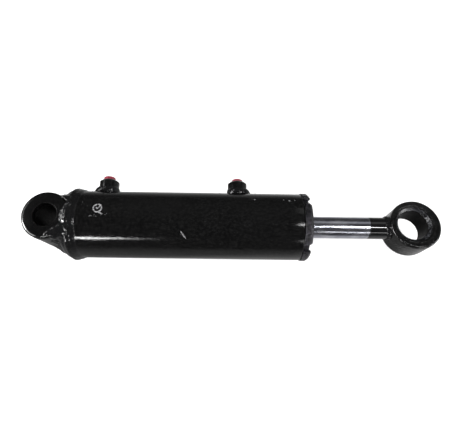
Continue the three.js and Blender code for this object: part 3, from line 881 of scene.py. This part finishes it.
def make_rod():
    """Chromed to the line where the eye's paint was masked; black from there on."""
    shoulder, rod_end, axis_radius = 138.8, EYE_X + EYE_OFFSET - EYE_RADIUS + 1.5, 0.01
    spigot = rounded([(95, axis_radius), (95, 10, 1.4), (shoulder - 2, 10, 0.5),
                      (shoulder - 2, 9.6), (shoulder, 9.6, 0.3), (shoulder, ROD_RADIUS, 0.6),
                      (shoulder + 5, ROD_RADIUS)], closed=False)
    ragged_zone = [PAINT_START - 2 + 0.25 * k for k in range(17)]
    plain_zone = [x for x in range(160, round(rod_end), 5) if abs(x - PAINT_START) > 3]
    bar = [(x, ROD_RADIUS) for x in sorted(ragged_zone + plain_zone)]
    profile = spigot + bar + [(rod_end, ROD_RADIUS), (rod_end, axis_radius)]
    points, faces = turned(profile, 144, closed=False)
    indices = []
    for face in faces:
        centre = sum((points[i] for i in face), Vector()) / len(face)
        angle = atan2(centre.y, centre.z)
        ragged = 0.45 * noise.noise(Vector((4 * cos(angle), 4 * sin(angle), 0)))
        indices.append(1 if centre.x > PAINT_START + ragged + 0.9 * sin(angle) else 0)
    piece("rod", points, faces, ["piston_rod"], "rod", "chromed_rod", [CHROME, ROD_PAINT],
          indices=indices)


def make_eye():
    """The ring, whose bore is nearer the rod than its outside, and the bush in it."""
    half, hole = EYE_HALF, 21.95
    profile = rounded([(-half, hole, 0.9), (-half, EYE_RADIUS, 2.8), (half, EYE_RADIUS, 2.8),
                       (half, hole, 0.9)], steps=8)
    uneven = rough(0.08, 0.22, 7.0)
    points, faces = turned(finely(profile, 3), 168, about_z)
    moved = []
    for p in points:
        radius, angle = off_z(p), atan2(p.y, p.x)
        outward = (radius - hole) / (EYE_RADIUS - hole)
        shift = uneven(p.z, radius, angle) if outward > 0.3 else 0
        scale = (radius + shift) / radius
        moved.append(EYE_PLACE @ Vector((p.x * scale + EYE_OFFSET * outward, p.y * scale, p.z)))
    piece("eye", moved, faces, ["rod_eye"], "rod", materials=[THICK_PAINT])
    half, mouth, outside = EYE_HALF - 0.35, 20.4, 21.9
    profile = rounded([(-half, mouth, 0.5), (-half, outside, 0.3), (half, outside, 0.3),
                       (half, mouth, 0.5), (half - 3.2, 17, 1.6), (-half + 3.2, 17, 1.6)], steps=6)
    points, faces = turned(finely(profile, 2.5), 160, about_z)
    # Index 1, the bush's bore, is near-black painted shade; index 2, its chamfer, has the grey
    # streaks of painted highlight.
    indices = []
    for face in faces:
        radius = face_mean(points, face, off_z)
        indices.append(1 if radius < 17.15 else 2 if radius < mouth - 0.1 else 0)
    points = [EYE_PLACE @ p for p in points]
    piece("eye_bush", points, faces, ["rod_eye_bushing"], "rod",
          materials=[THICK_PAINT, BORE_SHADE, RUBBED_HIGHLIGHT], indices=indices)


def make_eye_weld():
    def path(u):
        angle = TAU * u
        y, z = ROD_RADIUS * cos(angle), ROD_RADIUS * sin(angle)
        x = -sqrt(EYE_RADIUS ** 2 - y ** 2)
        side = Vector((0, cos(angle), sin(angle)))
        out = Vector((x, y, 0)).normalized()
        out = (out - side * 0.5 * out.dot(side)).normalized()
        return Vector((x + EYE_OFFSET, y, z)), side, out, 1.7, 3.8 + 0.5 * sin(angle + 1)
    points, faces = fillet_bead(path, 288, 24, 0.8, 9.0, bulge=0.5)
    points = [EYE_PLACE @ p for p in points]
    piece("eye_bead", points, faces, ["rod_eye_weld"], "rod", "painted_weld", sharp=70)


# ---- small surface pieces on the barrel ----

def lump(x, bearing, length, width, height, turn=0, steps=16):
    """A low smooth mound on the barrel. Its bearing from +Z and its turn are in degrees."""
    rings, sunk = 6, 0.25
    up = about_x(0, 1, radians(bearing))
    spin = Matrix.Rotation(radians(turn), 3, up)
    along = spin @ Vector((1, 0, 0))
    across = spin @ up.cross(Vector((1, 0, 0)))
    centre = about_x(x, BARREL_RADIUS, radians(bearing))
    points = []
    for i in range(rings + 1):
        s = i / rings
        for k in range(steps):
            a = TAU * k / steps
            flat = along * (length / 2 * s * cos(a)) + across * (width / 2 * s * sin(a))
            spot = centre + flat
            drop = BARREL_RADIUS - hypot(spot.y, spot.z)
            radial = Vector((0, spot.y, spot.z)).normalized()
            rise = height * (1 - s * s) ** 0.8 - (sunk if i == rings else 0)
            points.append(spot + radial * (drop + rise))
    faces = quads(rings + 1, steps, rows_close=False)
    faces.append(tuple(reversed(range(steps))))
    faces.append(tuple(range(rings * steps, (rings + 1) * steps)))
    return points, faces


def surface_piece(name, lumps, material, slot="gloss_black_paint"):
    piece(name, *joined(lumps), slot=slot, materials=[material], sharp=80)


def make_spatter():
    """Weld spatter caught under the paint: scattered by the beads, with a few stray drops."""
    chance = random.Random(21)
    lumps = []

    def add_drop(x, bearing, size, height=0.4, steps=10):
        lumps.append(lump(x, bearing, size, size, height * size, steps=steps))

    for x in PORTS.values():
        for _ in range(16):
            angle, far = chance.uniform(0, TAU), chance.uniform(17, 34)
            bearing = 90 + degrees(far * sin(angle) / BARREL_RADIUS)
            add_drop(x + far * cos(angle), bearing, chance.uniform(0.5, 1.3))
    for _ in range(42):
        size = chance.uniform(0.4, 1.1)
        add_drop(36 + 22 * chance.random() ** 2, chance.uniform(0, 360), size)
    for x, bearing in ((168, -7), (160, 36)):
        add_drop(x, bearing, chance.uniform(1.0, 1.6), height=0.45, steps=12)
    surface_piece("spatter", lumps, PAINT, "painted_weld")


def make_paint_runs():
    """Runs where the enamel sagged before it dried."""
    runs = [lump(152, -73, 5.0, 1.6, 0.3, -50, 20), lump(219, 36, 4.6, 1.6, 0.35, -15, 20)]
    surface_piece("paint_runs", runs, PAINT)


def make_painted_glints():
    """Pale grey patches that paint bright glints on the barrel: one long thin streak and four small
    spots.
    """
    glint_streak = lump(145.4, -30, 11.5, 1.9, 0.12, -56, 28)
    glint_spots = ((221, 36, 3.6, 2.4), (253, 36, 2.2, 2.6), (259, 34, 2.6, 3.0), (265, 36, 2.4, 1.4))
    surface_piece("painted_glints", [glint_streak] + [lump(*glint_spot, 0.1) for glint_spot in glint_spots], GLINT_GREY)


MARK_X, MARK_ANGLE = 54.0, 12.4      # the middle of the ring


def stroke(line, closed, seed):
    """A thin flat line of paint on the barrel through (x, arc, width) points about the middle
    of the mark, of uneven width."""
    section, last = 8, len(line) - 1
    points = []
    for k, (x, arc, width) in enumerate(line):
        ahead = line[(k + 1) % len(line) if closed else min(k + 1, last)]
        behind = line[k - 1 if closed else max(k - 1, 0)]
        across = Vector((-(ahead[1] - behind[1]), ahead[0] - behind[0])).normalized()
        uneven = 1 + 0.3 * noise.noise(Vector((x * 0.6, arc * 0.6, seed)))
        for i in range(section):
            b = TAU * i / section
            shift = across * (width * uneven / 2 * cos(b))
            angle = radians(MARK_ANGLE) + (arc + shift.y) / BARREL_RADIUS
            points.append(about_x(x + shift.x, BARREL_RADIUS + 0.03 + 0.07 * sin(b), angle))
    faces = quads(len(line), section, rows_close=closed)
    if not closed:
        faces += [tuple(range(section)), tuple(range(len(points) - section, len(points)))]
    return points, faces


def make_mark():
    """An inspector's paint-pen ring with a tick through it, and the flecks the pen threw."""
    radius, steps, pen = 4.3, 72, 1.5
    ring = [(MARK_X + radius * cos(TAU * k / steps),
             1.08 * radius * sin(TAU * k / steps), pen) for k in range(steps)]
    tick = [(MARK_X - 1.6, 1.2, 0.7), (MARK_X - 0.9, 0.2, 1.3), (MARK_X - 0.1, -0.7, 1.4),
            (MARK_X + 0.8, 0.6, 1.4), (MARK_X + 2.2, 2.6, 1.1), (MARK_X + 3.4, 4.0, 0.8)]
    tail = [(MARK_X + 1.2, -3.8, 1.4), (MARK_X + 2.6, -5.0, 1.8), (MARK_X + 4.2, -5.9, 1.2),
            (MARK_X + 5.4, -6.3, 0.6)]
    lines = [stroke(ring, True, 0), stroke(tick, False, 576), stroke(tail, False, 624)]
    surface_piece("check_mark", lines, MARK)
    chance = random.Random(31)
    flecks = []
    for along, arc in ((-4, -8.4), (7, -7.2)):
        for _ in range(9):
            x = MARK_X + along + chance.uniform(-3.6, 3.6)
            around = MARK_ANGLE + degrees((arc + chance.uniform(-1.2, 1.2)) / BARREL_RADIUS)
            flecks.append(lump(x, around, chance.uniform(0.5, 1.0), chance.uniform(0.3, 0.6), 0.1,
                               degrees(chance.uniform(0, 3)), 10))
    surface_piece("pen_flecks", flecks, MARK)


# ---- inside pieces that stay as CAD made them ----

def finish_carried_nodes():
    slots = {part["node"]: part["material_slot"] for part in frame["record"]["subparts"]}
    for node, carried in frame["nodes"].items():
        if carried.hide_render:
            continue
        carried.data.materials.clear()
        carried.data.materials.append(SLOT_MATERIALS[slots[node]])


# ---- stage, light and camera ----

FLOOR_GAP, FLOOR_HALF = 0.0004, 8.0  # metres, from here to the end of the file


def make_floor():
    lowest, half = cad_box[0].z - FLOOR_GAP, FLOOR_HALF
    corners = [(x * half, y * half, lowest) for x, y in ((-1, -1), (1, -1), (1, 1), (-1, 1))]
    mesh = bpy.data.meshes.new("floor")
    mesh.from_pydata(corners, [], [(0, 1, 2, 3)])
    mesh.materials.append(floor_paper())
    floor = add_object("floor", mesh)
    floor.visible_glossy = False


def area_light(name, place, aim_x, size, power, wide, mirrored=True):
    """A soft rectangular light aimed at a point of the cylinder's axis, its first size lying
    along the wide direction. An unmirrored one lights surfaces but shows in no reflection."""
    data = bpy.data.lights.new(name, "AREA")
    data.shape = "RECTANGLE"
    data.size, data.size_y = size
    data.energy = power
    light = add_object(name, data)
    light.location = place
    light.rotation_mode = "QUATERNION"
    back = (Vector(place) - Vector((aim_x, 0, 0))).normalized()
    side = (Vector(wide) - back * back.dot(Vector(wide))).normalized()
    light.rotation_quaternion = Matrix((side, back.cross(side), back)).transposed().to_quaternion()
    light.visible_glossy = mirrored


def make_lights():
    along_x, along_y = (1, 0, 0), (0, 1, 0)
    area_light("overhead_fill", (0.2, 0.1, 1.7), 0.2, (2.4, 2.4), 46, along_x, mirrored=False)
    for settings in (
            ("ceiling_lamp", (0.9275, -0.13, 1.2), 0.3, (0.575, 0.08), 4.36, along_x),
            ("front_window", (-0.43, -1.037, 0.562), 0.06, (0.27, 0.08), 3.3, along_x),
            ("front_window_edge", (-0.235, -1.037, 0.562), 0.06, (0.13, 0.08), 0.25, along_x),
            ("front_glow", (0.775, -1.07, 0.54), 0.3, (0.29, 0.09), 0.36, along_x),
            ("left_window", (-1.15, -0.12, 0.42), 0.03, (0.4, 0.3), 21, along_y),
            ("left_glow", (-1.05, -0.62, 0.3), 0, (0.5, 0.4), 6, along_y),
            ("left_back_glow", (-0.75, 0.3, 0.56), 0.38, (0.3, 0.2), 1.3, along_y),
            ("right_back_glow", (0.8, 0.85, 0.9), 0.33, (0.44, 0.5), 0.26, along_x),
            ("right_window", (1.35, -0.4, 0.14), 0.4, (0.4, 0.25), 6, along_y),
            ("right_front_glow", (1.12, -0.95, 0.24), 0.4, (0.5, 0.3), 3.4, along_x)):
        area_light(*settings)


def make_surroundings():
    """What the paint and the chrome mirror: a dim room, paler low down where the floor lies.
    The camera itself sees an even pale backdrop."""
    backdrop = 0.68
    n = Nodes("dim_room", "worlds", "Background", "Generated")
    split = n.add("ShaderNodeSeparateXYZ", {0: n.place}).outputs

    def toward(share, z_share, axis="Y"):
        return n.math("MULTIPLY_ADD", split["Z"], z_share, n.math("MULTIPLY", split[axis], share))

    low_down = n.span(toward(0.25, 1.0), -0.54, -0.34, 0.27, 0.055)
    wall = n.span(toward(0.7, 0.7), 0.75, 1.0, 0.0, 0.04)
    far_floor = n.span(toward(0.6, -0.8), 0.72, 1.0, 0.0, 0.3)
    right_floor = n.span(toward(1.0, -0.7, "X"), 0.42, 0.7, 0.0, 0.26)
    mirrored = n.math("ADD", n.math("ADD", low_down, wall), n.math("ADD", far_floor, right_floor))
    seen = n.add("ShaderNodeLightPath").outputs["Is Camera Ray"]
    strength = n.add("ShaderNodeMix", {0: seen, 2: mirrored, 3: backdrop}).outputs[0]
    bpy.context.scene.world = n.set(Strength=strength, Color=(1, 1, 1))


CAMERA_DISTANCE = 0.42286            # from the lens to the cylinder's axis
CAMERA_ABOVE = 0.00892               # the axis passes this far below the middle of the view
CAMERA_FOOT_X = 0.195
CAMERA_TILT = radians(16)            # from straight above, towards the front
CAMERA_ROLL, CAMERA_YAW = 0.014363, 0.013107
CAMERA_LENS, CAMERA_SENSOR = 28.677, 36


def make_camera():
    """Looks down on the cylinder from a little in front of it."""
    along = Vector((cos(CAMERA_YAW) * cos(CAMERA_ROLL),
                    cos(CAMERA_YAW) * sin(CAMERA_ROLL), sin(CAMERA_YAW)))
    ahead = (Vector((0, 0, 1)) - along * along.z).normalized()
    down = ahead.cross(along)
    if down.y < 0:
        down = -down
    row_z = -(cos(CAMERA_TILT) * ahead + sin(CAMERA_TILT) * down)
    row_y = row_z.cross(along)
    to_row = Matrix((along, row_y, row_z))
    foot = Vector((0, CAMERA_ABOVE, CAMERA_DISTANCE))
    place = Vector((CAMERA_FOOT_X, 0, 0)) - to_row @ foot
    right, below, forward = (to_row @ Vector(v) for v in ((1, 0, 0), (0, 1, 0), (0, 0, 1)))
    turn = Matrix((right, -below, -forward)).transposed()
    data = bpy.data.cameras.new("camera")
    data.lens, data.sensor_width = CAMERA_LENS, CAMERA_SENSOR
    data.clip_start, data.clip_end = 0.01, 50
    camera = add_object("camera", data)
    camera.matrix_world = Matrix.Translation(place) @ turn.to_4x4()
    bpy.context.scene.camera = camera


make_camera()
make_lights()
make_surroundings()
make_floor()
make_cross_tube()
make_base_cap()
make_base_welds()
make_barrel()
for number, (port_end, port_x) in enumerate(PORTS.items()):
    make_port(port_end, port_x, 1.0 + number)
    make_plug(port_end, port_x, 1.0 - 2 * number)
make_gland()
make_wiper()
make_rod()
make_eye()
make_eye_weld()
make_spatter()
make_paint_runs()
make_painted_glints()
make_mark()
finish_carried_nodes()
bpy.context.scene.view_settings.view_transform = "Standard"
